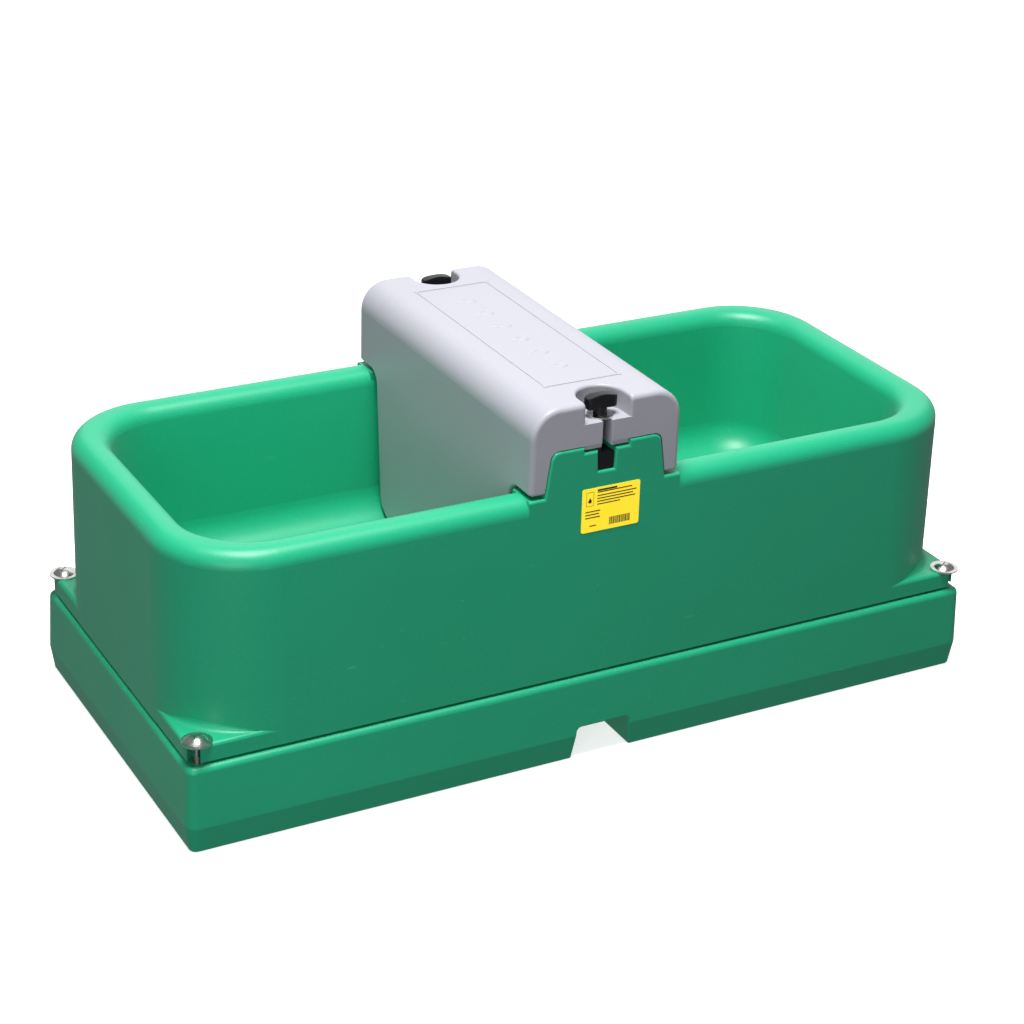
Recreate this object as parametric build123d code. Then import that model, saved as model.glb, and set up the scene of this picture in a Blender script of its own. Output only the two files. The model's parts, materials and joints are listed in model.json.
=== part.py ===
from build123d import *

import math
import os

# Two-bowl insulated livestock water trough. Millimetres, +X along the trough, +Z up.
# The origin is the centre of the base tray's underside. "near" is the -Y side, "far" the +Y side.

# Base tray
LENGTH = 1190.0
WIDTH = 548.0
TRAY_HEIGHT = 122.0
TRAY_INSET = 4.0
TRAY_CORNER = 16.0
TRAY_EDGE = 8.0
TRAY_UNDER_EDGE = 3.0
TRAY_WALL = 8.0
BAND_HEIGHT = 37.0
BAND_INSET = 6.0
BAND_BLEND = 12.0
NOTCH_WIDTH = 89.0
NOTCH_TOP_WIDTH = 78.0
NOTCH_HEIGHT = 48.0
NOTCH_SLEEVE = 90.0
NOTCH_CORNER = 7.0
NOTCH_EDGE = 3.0

# Ground anchors and the corner screws that hold the trough on its tray
ANCHOR_FROM_END = 92.0
ANCHOR_FROM_SIDE = 82.0
ANCHOR_HOLE_RADIUS = 6.5
ANCHOR_PAD_HEIGHT = 10.0
ANCHOR_PAD_MARGIN = 34.0
SCREW_FROM_EDGE = 23.0
SCREW_RADIUS = 4.0
SCREW_HEAD_RADIUS = 14.5
SCREW_HEAD_HEIGHT = 7.0
SCREW_SLOT_WIDTH = 2.4
SCREW_SLOT_DEPTH = 2.0
SCREW_SLOT_TURN = 35.0
SCREW_BITE = 18.0
WASHER_RADIUS = 20.0
WASHER_THICKNESS = 2.0
INSERT_RADIUS = 7.0
INSERT_LENGTH = 22.0
BOSS_WALL = 10.0
SCREW_CLEARANCE = 0.1

# Trough moulding
LEDGE = 8.0
SIDE_LEDGE = 10.0
SEAM_GAP = 4.0
SEAM_DEPTH = 14.0
FOOT_CORNER = 14.0
FOOT_STEP = 0.4
FOOT_EDGE = 5.0
LAND_HEIGHT = 24.0
CORNER_SLOT_WIDTH = 17.0
CORNER_SLOT_LENGTH = 60.0
WALL_CORNER = 128.0
WALL_DRAFT = 0.75
RIM_RISE = 272.0
RIM_WIDTH = 46.0
RIM_ROUND = 22.5
BASIN_CORNER = 94.0
BASIN_DRAFT = 5.0
FLOOR_RISE = 54.0
BASIN_FILLET = 50.0
SKIN = 6.0
FOAM_CLEARANCE = 0.5
FOAM_PORT_RADIUS = 15.0
FOAM_PORT_X = 330.0

# Towers on the long sides, with the seats of the cover's legs beside them. They and the cover sit a
# little to the left of the trough's middle.
TOWER_X = -7.0
TOWER_RISE = 60.0
TOWER_INSIDE_COVER = 21.0
TOWER_TAPER = 9.0
TOWER_CORNER = 12.0
TOWER_EDGE = 3.5
SEAT_MARGIN = 2.0
SEAT_DROP = 2.0
SEAT_DEPTH = 45.0
POCKET_WIDTH = 66.0
POCKET_DEPTH = 8.0
SLOT_WIDTH = 27.0
SLOT_TAPER = 1.5
SLOT_DEPTH = 37.0
SLOT_INSIDE = 13.0

# Cover
COVER_WIDTH = 220.0
COVER_RISE = 60.0
COVER_ROUND = 40.0
COVER_WALL = 20.0
COVER_END_ROUND = 7.0
COVER_SHORT = 1.0
COVER_GAP = 1.2
LEG_GAP = 5.0
CHEEK_DEPTH = 58.0
CHAMBER_ROUND = 18.0
PANEL_GAP = 12.0
PANEL_FLOOR_GAP = 5.0
LEG_ROUND = 20.0
LEG_OVERLAP = 2.0
PANEL_EDGE = 4.0
BOSS_GAP = 1.0
BOSS_RISE = 3.5
RECESS_RADIUS = 33.0
RECESS_DEPTH = 29.0
RECESS_FROM_END = 20.0
RECESS_EDGE = 4.0
KNOB_FROM_END = 22.0
KNOB_SLOT_WIDTH = 14.0
KNOB_SLOT_EDGE = 1.0
RIDGE_FROM_END = 69.0
RIDGE_FROM_SIDE = 54.0
RIDGE_CORNER = 5.0
RIDGE_WIDTH = 2.4
RIDGE_HEIGHT = 0.8

# Clamp knobs, their studs and the anchors in the tower slots
STUD_RADIUS = 5.0
STUD_CLEARANCE = 0.3
STUD_TIP_GAP = 7.0
KNOB_SEAT = 18.0
KNOB_HUB_RADIUS = 9.5
KNOB_HUB_HEIGHT = 10.0
KNOB_LENGTH = 45.0
KNOB_WIDTH = 19.0
KNOB_HEIGHT = 28.0
KNOB_EDGE = 4.0
KNOB_WASHER_RADIUS = 17.5
MOULDED_IN = 0.05
ANCHOR_HEIGHT = 23.0
ANCHOR_CLEARANCE = 0.4
ANCHOR_SETBACK = 3.0

# Rating label on the near wall
LABEL_WIDTH = 86.0
LABEL_HEIGHT = 62.0
LABEL_CORNER = 3.0
LABEL_THICKNESS = 0.5
LABEL_X = 1.0
LABEL_DROP = 30.0

# Water inlet, through the basin floor under the cover
INLET_FLOOR_MARGIN = 7.42
INLET_RADIUS = 14.0
INLET_TAIL_RADIUS = 13.2
INLET_BORE = 9.0
INLET_END = 60.0
INLET_HEAD = 36.0
FLANGE_RADIUS = 26.0
FLANGE_THICKNESS = 6.0
GASKET_THICKNESS = 3.0
NUT_RADIUS = 24.0
NUT_HEIGHT = 14.0
THREAD_CLEARANCE = 0.2
PASSAGE_CLEARANCE = 0.8
NUT_ACCESS = 8.0
TAIL_BELOW_NUT = 2.0

# Drain in the floor of the left bowl
DRAIN_X = -200.0
DRAIN_RADIUS = 21.0
DRAIN_TAIL_RADIUS = 20.0
DRAIN_BORE = 14.0
DRAIN_END = 72.0
DRAIN_FLANGE_RADIUS = 34.0
DRAIN_NUT_RADIUS = 31.0
PLUG_HEAD_RADIUS = 21.0
PLUG_HEAD_HEIGHT = 4.0
PLUG_LENGTH = 20.0
PLUG_CLEARANCE = 0.8
PLUG_GRIP_LENGTH = 26.0
PLUG_GRIP_WIDTH = 7.0
PLUG_GRIP_HEIGHT = 14.0
SEAL_HEIGHT = 4.0
SEAL_DEPTH = 2.0
SEAL_CLEARANCE = 0.3

# Float valve, on a riser pipe
RISER_WALL = 4.0
RISER_SOCKET = 20.0
VALVE_RISE = 18.0
VALVE_RADIUS = 16.0
VALVE_BACK = 22.0
VALVE_FRONT = 40.0
VALVE_BORE = 10.0
VALVE_SOCKET_RADIUS = 18.0
VALVE_SOCKET_DEPTH = 14.0
SEAT_THICKNESS = 4.0
SEAT_HOLE_RADIUS = 4.0
SEAT_BEHIND_AXIS = 6.0
PLUNGER_CLEARANCE = 0.3
PLUNGER_SEAL_THICKNESS = 2.0
PLUNGER_SEAL_RADIUS = 7.0
PLUNGER_OPENING = 8.0

# Float arm, drawn level and then turned down to where it hangs
PIVOT_AHEAD = 58.0
PIVOT_DROP = 22.0
PIVOT_RADIUS = 3.0
PIVOT_CLEARANCE = 0.1
ARM_HUB_RADIUS = 8.0
ARM_HUB_WIDTH = 14.0
EAR_THICKNESS = 4.0
EAR_GAP = 0.6
EAR_RADIUS = 8.0
FINGER_TIP_RADIUS = 4.0
FINGER_THICKNESS = 6.0
FINGER_STEM_DEPTH = 3.6
FINGER_GAP = 0.3
FINGER_TILT = 10.0
ARM_HANG = 25.0
FLOAT_REACH = 121.0
ARM_RADIUS = 4.0
FLOAT_LENGTH = 130.0
FLOAT_DEPTH = 96.0
FLOAT_HEIGHT = 70.0
FLOAT_ROUND = 20.0
PIN_HEAD_RADIUS = 5.5
PIN_HEAD_THICKNESS = 2.0
CLIP_THICKNESS = 1.2
CLIP_RADIUS = 6.0
WING_NUT_RADIUS = 8.0
WING_NUT_LENGTH = 10.0
WING_SPAN = 34.0
WING_THICKNESS = 3.0

# Heights and lengths that follow from the sizes above
REACH = 2 * LENGTH
MARGIN = 1.0
TROUGH_LOW = TRAY_HEIGHT
FOOT_LOW = TROUGH_LOW + SEAM_GAP
LAND_TOP = FOOT_LOW + LAND_HEIGHT
FOOT_LENGTH = LENGTH - 2 * LEDGE
FOOT_WIDTH = WIDTH - 2 * SIDE_LEDGE
BASIN_FLOOR = TROUGH_LOW + FLOOR_RISE
RIM_TOP = TROUGH_LOW + RIM_RISE
TOWER_TOP = RIM_TOP + TOWER_RISE
TOWER_HALF_WIDTH = COVER_WIDTH / 2 - TOWER_INSIDE_COVER
SEAT_HALF_WIDTH = COVER_WIDTH / 2 + SEAT_MARGIN
SLOT_FLOOR = TOWER_TOP - SLOT_DEPTH
COVER_TOP = TOWER_TOP + COVER_RISE
LABEL_Z = RIM_TOP - LABEL_DROP
SEAT_Z = RIM_TOP - SEAT_DROP
POCKET_FLOOR = TOWER_TOP - POCKET_DEPTH
VOID_LOW = FOOT_LOW + SKIN
VOID_TOP = RIM_TOP - RIM_ROUND
RECESS_FLOOR = COVER_TOP - RECESS_DEPTH
PLATE_UNDERSIDE = TRAY_HEIGHT - TRAY_WALL
SCREW_X = LENGTH / 2 - SCREW_FROM_EDGE
SCREW_Y = WIDTH / 2 - SCREW_FROM_EDGE
ANCHOR_X = LENGTH / 2 - ANCHOR_FROM_END
ANCHOR_Y = WIDTH / 2 - ANCHOR_FROM_SIDE
NUT_LOW = TROUGH_LOW - NUT_HEIGHT
TAIL_TOP = NUT_LOW - TAIL_BELOW_NUT
INLET_FLANGE_LOW = BASIN_FLOOR + GASKET_THICKNESS
INLET_TOP = BASIN_FLOOR + INLET_HEAD
INLET_TUBE_RADIUS = INLET_RADIUS + PASSAGE_CLEARANCE
DRAIN_TUBE_RADIUS = DRAIN_RADIUS + PASSAGE_CLEARANCE
VALVE_Z = RIM_TOP + VALVE_RISE
PIVOT_Z = VALVE_Z - PIVOT_DROP
EAR_INSIDE = ARM_HUB_WIDTH / 2 + EAR_GAP
CORNERS = [(1, 1), (-1, 1), (-1, -1), (1, -1)]


def wall_inset(z):
    """How far the trough's drafted outer wall has come in at height z."""
    return (z - FOOT_LOW) * math.tan(math.radians(WALL_DRAFT))


def wall_half_width(z):
    """Half the trough's width over its outer walls at height z."""
    return FOOT_WIDTH / 2 - wall_inset(z)


def basin_inset(z):
    """How far the basin's wall has come in at height z below the rim."""
    return (RIM_TOP - z) * math.tan(math.radians(BASIN_DRAFT))


def basin_half_width(z):
    """Half the basin's width at height z."""
    return wall_half_width(RIM_TOP) - RIM_WIDTH - basin_inset(z)


COVER_HALF_LENGTH = wall_half_width(COVER_TOP) - COVER_SHORT
KNOB_Y = COVER_HALF_LENGTH - KNOB_FROM_END
TOWER_INNER = basin_half_width(RIM_TOP)
LEG_LOW = SEAT_Z + LEG_GAP
RIDGE_LENGTH = 2 * (COVER_HALF_LENGTH - RIDGE_FROM_END)
RIDGE_SPAN = COVER_WIDTH - 2 * RIDGE_FROM_SIDE
CHEEK_LOW = TOWER_TOP + COVER_GAP
CHEEK_INNER = COVER_HALF_LENGTH - CHEEK_DEPTH
PANEL_LOW = BASIN_FLOOR + PANEL_FLOOR_GAP
SLOT_BACK = KNOB_Y - SLOT_INSIDE
WASHER_TOP = RECESS_FLOOR + WASHER_THICKNESS
KNOB_TOP = WASHER_TOP + KNOB_HEIGHT
STUD_END = SLOT_FLOOR + STUD_TIP_GAP
ANCHOR_TOP = SLOT_FLOOR + ANCHOR_HEIGHT
INLET_Y = basin_half_width(BASIN_FLOOR) - BASIN_FILLET - FLANGE_RADIUS - INLET_FLOOR_MARGIN
PIVOT_Y = INLET_Y - PIVOT_AHEAD
ARM_LENGTH = PIVOT_Y + FLOAT_REACH


def rounded_frustum(length, width, corner, inset, low, high):
    """Solid between two level rounded rectangles, the upper one smaller by inset on every side."""
    lower = Pos(0, 0, low) * RectangleRounded(length, width, corner)
    upper = Pos(0, 0, high) * RectangleRounded(length - 2 * inset, width - 2 * inset, corner - inset)
    return loft([lower, upper], ruled=True)


def column(radius, low, high, x=0.0, y=0.0):
    """Upright cylinder at x, y from height low to height high."""
    return Pos(x, y, low) * extrude(Circle(radius), high - low)


def ring(outer, inner, low, high, x=0.0, y=0.0):
    """Upright tube at x, y from height low to height high."""
    return Pos(x, y, low) * extrude(Circle(outer) - Circle(inner), high - low)


def block(low_corner, high_corner):
    """Box between two opposite corners."""
    size = [b - a for a, b in zip(low_corner, high_corner)]
    centre = [(a + b) / 2 for a, b in zip(low_corner, high_corner)]
    return Pos(*centre) * Box(*size)


def along_y(profile, half_length):
    """Profile drawn in X and Z, extruded to both sides of the middle plane."""
    return extrude(Plane.XZ * profile, half_length, both=True)


def along_x(profile, half_length):
    """Profile drawn in Y and Z, extruded to both sides of the middle plane."""
    return extrude(Plane.YZ * profile, half_length, both=True)


def rod_y(radius, low, high, x=0.0, z=0.0):
    """Cylinder along Y from low to high."""
    return Pos(x, high, z) * Rot(90, 0, 0) * extrude(Circle(radius), high - low)


def rod_x(radius, low, high, y=0.0, z=0.0):
    """Cylinder along X from low to high."""
    return Pos(low, y, z) * Rot(0, 90, 0) * extrude(Circle(radius), high - low)


def trapezoid(bottom_width, top_width, low, high):
    """Upright symmetrical trapezoid between two heights."""
    right = [(bottom_width / 2, low), (top_width / 2, high)]
    corners = right + [(-x, z) for x, z in reversed(right)]
    return make_face(Polyline(*corners, close=True))


def both_ends(piece):
    """A piece of the near end with its copy at the far end."""
    return piece + Rot(0, 0, 180) * piece


# Base tray and what fastens to it


def tray_cavity():
    """Hollow of the tray, open below."""
    inset = TRAY_INSET - BAND_INSET
    length = LENGTH - 2 * (BAND_INSET + TRAY_WALL)
    width = WIDTH - 2 * (BAND_INSET + TRAY_WALL)
    return rounded_frustum(length, width, TRAY_CORNER - TRAY_WALL, inset, 0, PLATE_UNDERSIDE)


def anchor_pads():
    """Four feet in the tray's corners for the ground anchors."""
    pads = Part()
    for sx, sy in CORNERS:
        inner = (sx * (ANCHOR_X - ANCHOR_PAD_MARGIN), sy * (ANCHOR_Y - ANCHOR_PAD_MARGIN))
        inset = BAND_INSET + TRAY_WALL / 2
        outer = (sx * (LENGTH / 2 - inset), sy * (WIDTH / 2 - inset))
        low = (min(inner[0], outer[0]), min(inner[1], outer[1]), 0)
        high = (max(inner[0], outer[0]), max(inner[1], outer[1]), ANCHOR_PAD_HEIGHT)
        pads += block(low, high)
    return pads


def notch_outline(growth):
    """Outline of a pipe notch with rounded upper corners, grown on its sides and top."""
    outline = trapezoid(NOTCH_WIDTH + 2 * growth, NOTCH_TOP_WIDTH + 2 * growth, 0, NOTCH_HEIGHT + growth)
    return fillet(outline.vertices().sort_by(Axis.Y)[-2:], NOTCH_CORNER + growth)


def notch_sleeves():
    """Walls that line each pipe notch, from the tray's side inwards."""
    outer_y = WIDTH / 2 - BAND_INSET - TRAY_WALL / 2
    inner_y = WIDTH / 2 - NOTCH_SLEEVE
    middle = block((-REACH, -inner_y, -MARGIN), (REACH, inner_y, TRAY_HEIGHT))
    return along_y(notch_outline(TRAY_WALL), outer_y) - middle


def is_notch_edge(edge):
    """Whether an edge outlines a pipe notch on the tray's long side."""
    middle = edge.center()
    at_side = abs(middle.Y) > WIDTH / 2 - BAND_INSET - MARGIN
    return at_side and abs(middle.X) < NOTCH_WIDTH / 2 and MARGIN < middle.Z < NOTCH_HEIGHT + MARGIN


def base_tray():
    """Open-bottomed tray with its foot band, pipe notches, screw bosses and anchor pads."""
    band_length = LENGTH - 2 * BAND_INSET
    band_width = WIDTH - 2 * BAND_INSET
    band = rounded_frustum(band_length, band_width, TRAY_CORNER - BAND_INSET, -BAND_INSET, 0, BAND_HEIGHT)
    upper = rounded_frustum(LENGTH, WIDTH, TRAY_CORNER, TRAY_INSET, BAND_HEIGHT, TRAY_HEIGHT)
    outside = band + upper
    kink = outside.edges().filter_by(lambda e: abs(e.center().Z - BAND_HEIGHT) < MARGIN)
    outside = fillet(kink, BAND_BLEND)
    outside = fillet(outside.faces().sort_by(Axis.Z)[-1].edges(), TRAY_EDGE)
    outside = fillet(outside.faces().sort_by(Axis.Z)[0].edges(), TRAY_UNDER_EDGE)
    tray = outside - tray_cavity()
    tray += anchor_pads() + notch_sleeves()
    boss_low = TRAY_HEIGHT - INSERT_LENGTH - BOSS_WALL
    for sx, sy in CORNERS:
        x, y = sx * SCREW_X, sy * SCREW_Y
        tray += column(INSERT_RADIUS + BOSS_WALL, boss_low, PLATE_UNDERSIDE + TRAY_WALL / 2, x, y)
        tray -= column(INSERT_RADIUS + SCREW_CLEARANCE, TRAY_HEIGHT - INSERT_LENGTH, REACH, x, y)
        tray -= column(ANCHOR_HOLE_RADIUS, -MARGIN, ANCHOR_PAD_HEIGHT + MARGIN, sx * ANCHOR_X, sy * ANCHOR_Y)
    tray -= along_y(notch_outline(0), WIDTH)
    tray = fillet(tray.edges().filter_by(is_notch_edge), NOTCH_EDGE)
    tray -= column(NUT_RADIUS + NUT_ACCESS, PLATE_UNDERSIDE - MARGIN, REACH, 0, INLET_Y)
    tray -= column(DRAIN_NUT_RADIUS + NUT_ACCESS, PLATE_UNDERSIDE - MARGIN, REACH, DRAIN_X, 0)
    return tray


def corner_insert():
    """Threaded brass insert in a corner boss of the tray."""
    return ring(INSERT_RADIUS, SCREW_RADIUS + SCREW_CLEARANCE, TRAY_HEIGHT - INSERT_LENGTH, TRAY_HEIGHT)


def corner_washer():
    """Broad washer that bridges the open corner slot."""
    return ring(WASHER_RADIUS, SCREW_RADIUS + SCREW_CLEARANCE, LAND_TOP, LAND_TOP + WASHER_THICKNESS)


def corner_screw():
    """Slotted mushroom-head screw."""
    seat = LAND_TOP + WASHER_THICKNESS
    dome_radius = (SCREW_HEAD_RADIUS**2 + SCREW_HEAD_HEIGHT**2) / (2 * SCREW_HEAD_HEIGHT)
    dome = Pos(0, 0, seat + SCREW_HEAD_HEIGHT - dome_radius) * Sphere(dome_radius)
    head = dome & column(2 * SCREW_HEAD_RADIUS, seat, seat + 2 * SCREW_HEAD_HEIGHT)
    slot_low = seat + SCREW_HEAD_HEIGHT - SCREW_SLOT_DEPTH
    half = SCREW_SLOT_WIDTH / 2
    slot = block((-REACH, -half, slot_low), (REACH, half, slot_low + SCREW_HEAD_HEIGHT))
    shank = column(SCREW_RADIUS, TRAY_HEIGHT - SCREW_BITE, seat + MARGIN)
    return head - Rot(0, 0, SCREW_SLOT_TURN) * slot + shank


def at_corners(piece):
    """Four copies of a corner piece, each a separate solid."""
    return Compound(children=[Pos(sx * SCREW_X, sy * SCREW_Y, 0) * piece for sx, sy in CORNERS])


# Trough moulding


def basin(offset, top):
    """The basin's own volume, grown by offset, from its floor up to a height."""
    low = BASIN_FLOOR - offset
    mouth_length = FOOT_LENGTH - 2 * wall_inset(RIM_TOP) - 2 * RIM_WIDTH + 2 * offset
    mouth_width = 2 * (wall_half_width(RIM_TOP) - RIM_WIDTH + offset)
    length = mouth_length - 2 * basin_inset(low)
    width = mouth_width - 2 * basin_inset(low)
    corner = BASIN_CORNER + offset - basin_inset(low)
    rise = (top - low) * math.tan(math.radians(BASIN_DRAFT))
    volume = rounded_frustum(length, width, corner, -rise, low, top)
    return fillet(volume.faces().sort_by(Axis.Z)[0].edges(), BASIN_FILLET + offset)


def trough_envelope(corner, low, top, inset=0.0):
    """Everything inside the drafted outer walls between two heights."""
    start = wall_inset(low) + inset
    length = FOOT_LENGTH - 2 * start
    width = FOOT_WIDTH - 2 * start
    return rounded_frustum(length, width, corner - start, wall_inset(top) - wall_inset(low), low, top)


def insulation_space(clearance):
    """Space between the outer wall and the basin, smaller by clearance on every side."""
    gap = SKIN + clearance
    space = trough_envelope(WALL_CORNER, VOID_LOW + clearance, VOID_TOP - clearance, gap)
    space -= basin(gap, REACH / 2)
    space -= column(INLET_TUBE_RADIUS + gap, 0, RIM_TOP, 0, INLET_Y)
    space -= column(DRAIN_TUBE_RADIUS + gap, 0, RIM_TOP, DRAIN_X, 0)
    return space


def tower_profile(growth=0.0):
    """Front outline of a tower, grown by a gap for what fits over it."""
    bottom = 2 * (TOWER_HALF_WIDTH + growth)
    top = bottom - 2 * TOWER_TAPER
    profile = trapezoid(bottom, top, SEAT_Z, TOWER_TOP + growth)
    return fillet(profile.vertices().sort_by(Axis.Y)[-2:], TOWER_CORNER + growth)


def is_tower_front(edge):
    """Whether an edge outlines a tower or seat on the trough's outer face."""
    middle = edge.center()
    on_wall = abs(abs(middle.Y) - wall_half_width(middle.Z)) < MARGIN / 2
    return on_wall and middle.Z > SEAT_Z - MARGIN


def towers():
    """The two towers and the squared seats beside them, flush with the outer wall."""
    seat_low = SEAT_Z - SEAT_DEPTH
    seats = block((-SEAT_HALF_WIDTH, -REACH, seat_low), (SEAT_HALF_WIDTH, REACH, SEAT_Z))
    solid = along_y(tower_profile(), WIDTH) + seats
    solid &= Pos(-TOWER_X, 0, 0) * trough_envelope(WALL_CORNER, FOOT_LOW, TOWER_TOP)
    solid -= block((-REACH, -TOWER_INNER, 0), (REACH, TOWER_INNER, REACH))
    solid -= block((-POCKET_WIDTH / 2, -REACH, POCKET_FLOOR), (POCKET_WIDTH / 2, REACH, REACH))
    slot = along_y(trapezoid(SLOT_WIDTH - 2 * SLOT_TAPER, SLOT_WIDTH, SLOT_FLOOR, TOWER_TOP), WIDTH)
    solid -= slot - block((-REACH, -SLOT_BACK, 0), (REACH, SLOT_BACK, REACH))
    solid = fillet(solid.edges().filter_by(is_tower_front), TOWER_EDGE)
    return Pos(TOWER_X, 0, 0) * solid


def foot():
    """Square-cornered foot whose lands carry the corner screws, on a plinth that leaves the seam gap."""
    rise = wall_inset(LAND_TOP)
    length, width = FOOT_LENGTH - 2 * FOOT_STEP, FOOT_WIDTH - 2 * FOOT_STEP
    flange = rounded_frustum(length, width, FOOT_CORNER, rise, FOOT_LOW, LAND_TOP)
    flange = fillet(flange.faces().sort_by(Axis.Z)[-1].edges(), FOOT_EDGE)
    plinth = RectangleRounded(FOOT_LENGTH - 2 * SEAM_DEPTH, FOOT_WIDTH - 2 * SEAM_DEPTH, FOOT_CORNER)
    return flange + Pos(0, 0, TROUGH_LOW) * extrude(plinth, SEAM_GAP)


def corner_slots():
    """Open slots that run out through the corners of the foot, around the screws."""
    half = CORNER_SLOT_WIDTH / 2
    low, high = TROUGH_LOW - MARGIN, LAND_TOP + MARGIN
    cut = block((0, -half, low), (CORNER_SLOT_LENGTH, half, high)) + column(half, low, high)
    slots = Part()
    for sx, sy in CORNERS:
        slots += Pos(sx * SCREW_X, sy * SCREW_Y, 0) * Rot(0, 0, math.degrees(math.atan2(sy, sx))) * cut
    return slots


def trough_shell():
    """One-piece hollow moulding: outer wall, round rim, basin, towers and foot."""
    shell = trough_envelope(WALL_CORNER, FOOT_LOW, RIM_TOP) - basin(0, RIM_TOP)
    shell = fillet(shell.faces().sort_by(Axis.Z)[-1].edges(), RIM_ROUND)
    shell += foot()
    shell -= block((TOWER_X - SEAT_HALF_WIDTH, -REACH, SEAT_Z), (TOWER_X + SEAT_HALF_WIDTH, REACH, REACH))
    shell += towers()
    shell -= insulation_space(0)
    shell -= column(INLET_TUBE_RADIUS, 0, BASIN_FLOOR + MARGIN, 0, INLET_Y)
    shell -= column(DRAIN_TUBE_RADIUS, 0, BASIN_FLOOR + MARGIN, DRAIN_X, 0)
    shell -= column(FOAM_PORT_RADIUS, 0, VOID_LOW + MARGIN, FOAM_PORT_X, 0)
    return shell - corner_slots()


def foam_port_plug():
    """Plug in the hole through which the foam was injected."""
    return column(FOAM_PORT_RADIUS - SCREW_CLEARANCE, TROUGH_LOW, VOID_LOW, FOAM_PORT_X, 0)


def rating_label():
    """Thin plate flat on the drafted near wall, under the tower."""
    plate = extrude(RectangleRounded(LABEL_WIDTH, LABEL_HEIGHT, LABEL_CORNER), LABEL_THICKNESS)
    return Pos(LABEL_X, -wall_half_width(LABEL_Z), LABEL_Z) * Rot(90 - WALL_DRAFT, 0, 0) * plate


# Cover and its clamps


def cover_side_outline():
    """Side outline of the hanging panels, which swing out in a round to the legs' undersides."""
    bottom = basin_half_width(PANEL_LOW) - PANEL_GAP
    edge = basin_half_width(LEG_LOW) - PANEL_GAP
    under_leg = edge + LEG_ROUND + LEG_OVERLAP
    right = [(bottom, PANEL_LOW), (edge, LEG_LOW), (under_leg, LEG_LOW), (under_leg, CHEEK_LOW)]
    left = [(-y, z) for y, z in reversed(right)]
    outline = make_face(Polyline(*right, *left, close=True))
    outline = fillet(outline.vertices().sort_by(Axis.Y)[:2], BASIN_FILLET - PANEL_GAP)
    low_vertices = outline.vertices().filter_by(lambda v: abs(v.Y - LEG_LOW) < MARGIN)
    inner_corners = low_vertices.filter_by(lambda v: abs(abs(v.X) - edge) < MARGIN)
    return fillet(inner_corners, LEG_ROUND)


def knob_cuts():
    """Recess around the near knob and the open slot for its stud."""
    recess_y = -(COVER_HALF_LENGTH - RECESS_FROM_END)
    cut = column(RECESS_RADIUS, RECESS_FLOOR, REACH, 0, recess_y)
    cut += block((-RECESS_RADIUS, -REACH, RECESS_FLOOR), (RECESS_RADIUS, recess_y, REACH))
    half = KNOB_SLOT_WIDTH / 2
    cut += column(half, SLOT_FLOOR, REACH, 0, -KNOB_Y)
    return cut + block((-half, -REACH, SLOT_FLOOR), (half, -KNOB_Y, REACH))


def is_knob_slot_edge(edge):
    """Whether an edge of the cover runs along the open slot of a knob's stud."""
    middle = edge.center()
    on_slot_side = abs(abs(middle.X) - KNOB_SLOT_WIDTH / 2) < MARGIN / 2
    return on_slot_side and abs(middle.Y) > CHEEK_INNER and middle.Z < RECESS_FLOOR + MARGIN


def is_recess_edge(edge):
    """Whether an edge of the cover is the upper edge of a knob's recess."""
    middle = edge.center()
    at_top = abs(middle.Z - COVER_TOP) < MARGIN / 2
    return at_top and abs(middle.X) < RECESS_RADIUS + MARGIN and abs(middle.Y) > CHEEK_INNER


def cover():
    """Saddle-shaped cover: rounded top, two cheeks over the towers, legs and hanging side panels."""
    half = COVER_WIDTH / 2
    profile = trapezoid(COVER_WIDTH, COVER_WIDTH, LEG_LOW, COVER_TOP)
    profile = fillet(profile.vertices().sort_by(Axis.Y)[-2:], COVER_ROUND)
    top = along_y(profile, COVER_HALF_LENGTH)
    end_edges = top.faces().filter_by(Axis.Y).edges().filter_by(lambda e: e.center().Z > LEG_LOW + 1)
    top = fillet(end_edges, COVER_END_ROUND)
    body = top + along_x(cover_side_outline(), half)
    outer_edges = body.edges().filter_by(lambda e: half - abs(e.center().X) < MARGIN / 2)
    low_edges = outer_edges.filter_by(lambda e: e.center().Z < LEG_LOW + MARGIN)
    body = fillet(low_edges, PANEL_EDGE)
    inside = half - COVER_WALL
    chamber = trapezoid(2 * inside, 2 * inside, 0, COVER_TOP - COVER_WALL)
    chamber = fillet(chamber.vertices().sort_by(Axis.Y)[-2:], CHAMBER_ROUND)
    body -= along_y(chamber, CHEEK_INNER)
    body -= along_y(tower_profile(COVER_GAP), REACH)
    body -= block((-inside, -REACH, 0), (inside, REACH, SEAT_Z + MARGIN))
    boss_half = POCKET_WIDTH / 2 - BOSS_GAP
    boss_high = CHEEK_LOW + COVER_WALL / 2
    boss_end = COVER_HALF_LENGTH - COVER_GAP
    boss = block((-boss_half, -boss_end, POCKET_FLOOR + BOSS_RISE), (boss_half, -CHEEK_INNER, boss_high))
    body += both_ends(boss)
    body -= both_ends(knob_cuts())
    body = fillet(body.edges().filter_by(is_knob_slot_edge), KNOB_SLOT_EDGE)
    body = fillet(body.edges().filter_by(is_recess_edge), RECESS_EDGE)
    ridge = RectangleRounded(RIDGE_SPAN, RIDGE_LENGTH, RIDGE_CORNER)
    inner_span, inner_length = RIDGE_SPAN - 2 * RIDGE_WIDTH, RIDGE_LENGTH - 2 * RIDGE_WIDTH
    ridge -= RectangleRounded(inner_span, inner_length, RIDGE_CORNER - RIDGE_WIDTH)
    return body + Pos(0, 0, COVER_TOP) * extrude(ridge, RIDGE_HEIGHT)


def knob_washer():
    """Captive washer on the recess floor under the near knob."""
    return ring(KNOB_WASHER_RADIUS, STUD_RADIUS + STUD_CLEARANCE, RECESS_FLOOR, WASHER_TOP, 0, -KNOB_Y)


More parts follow.
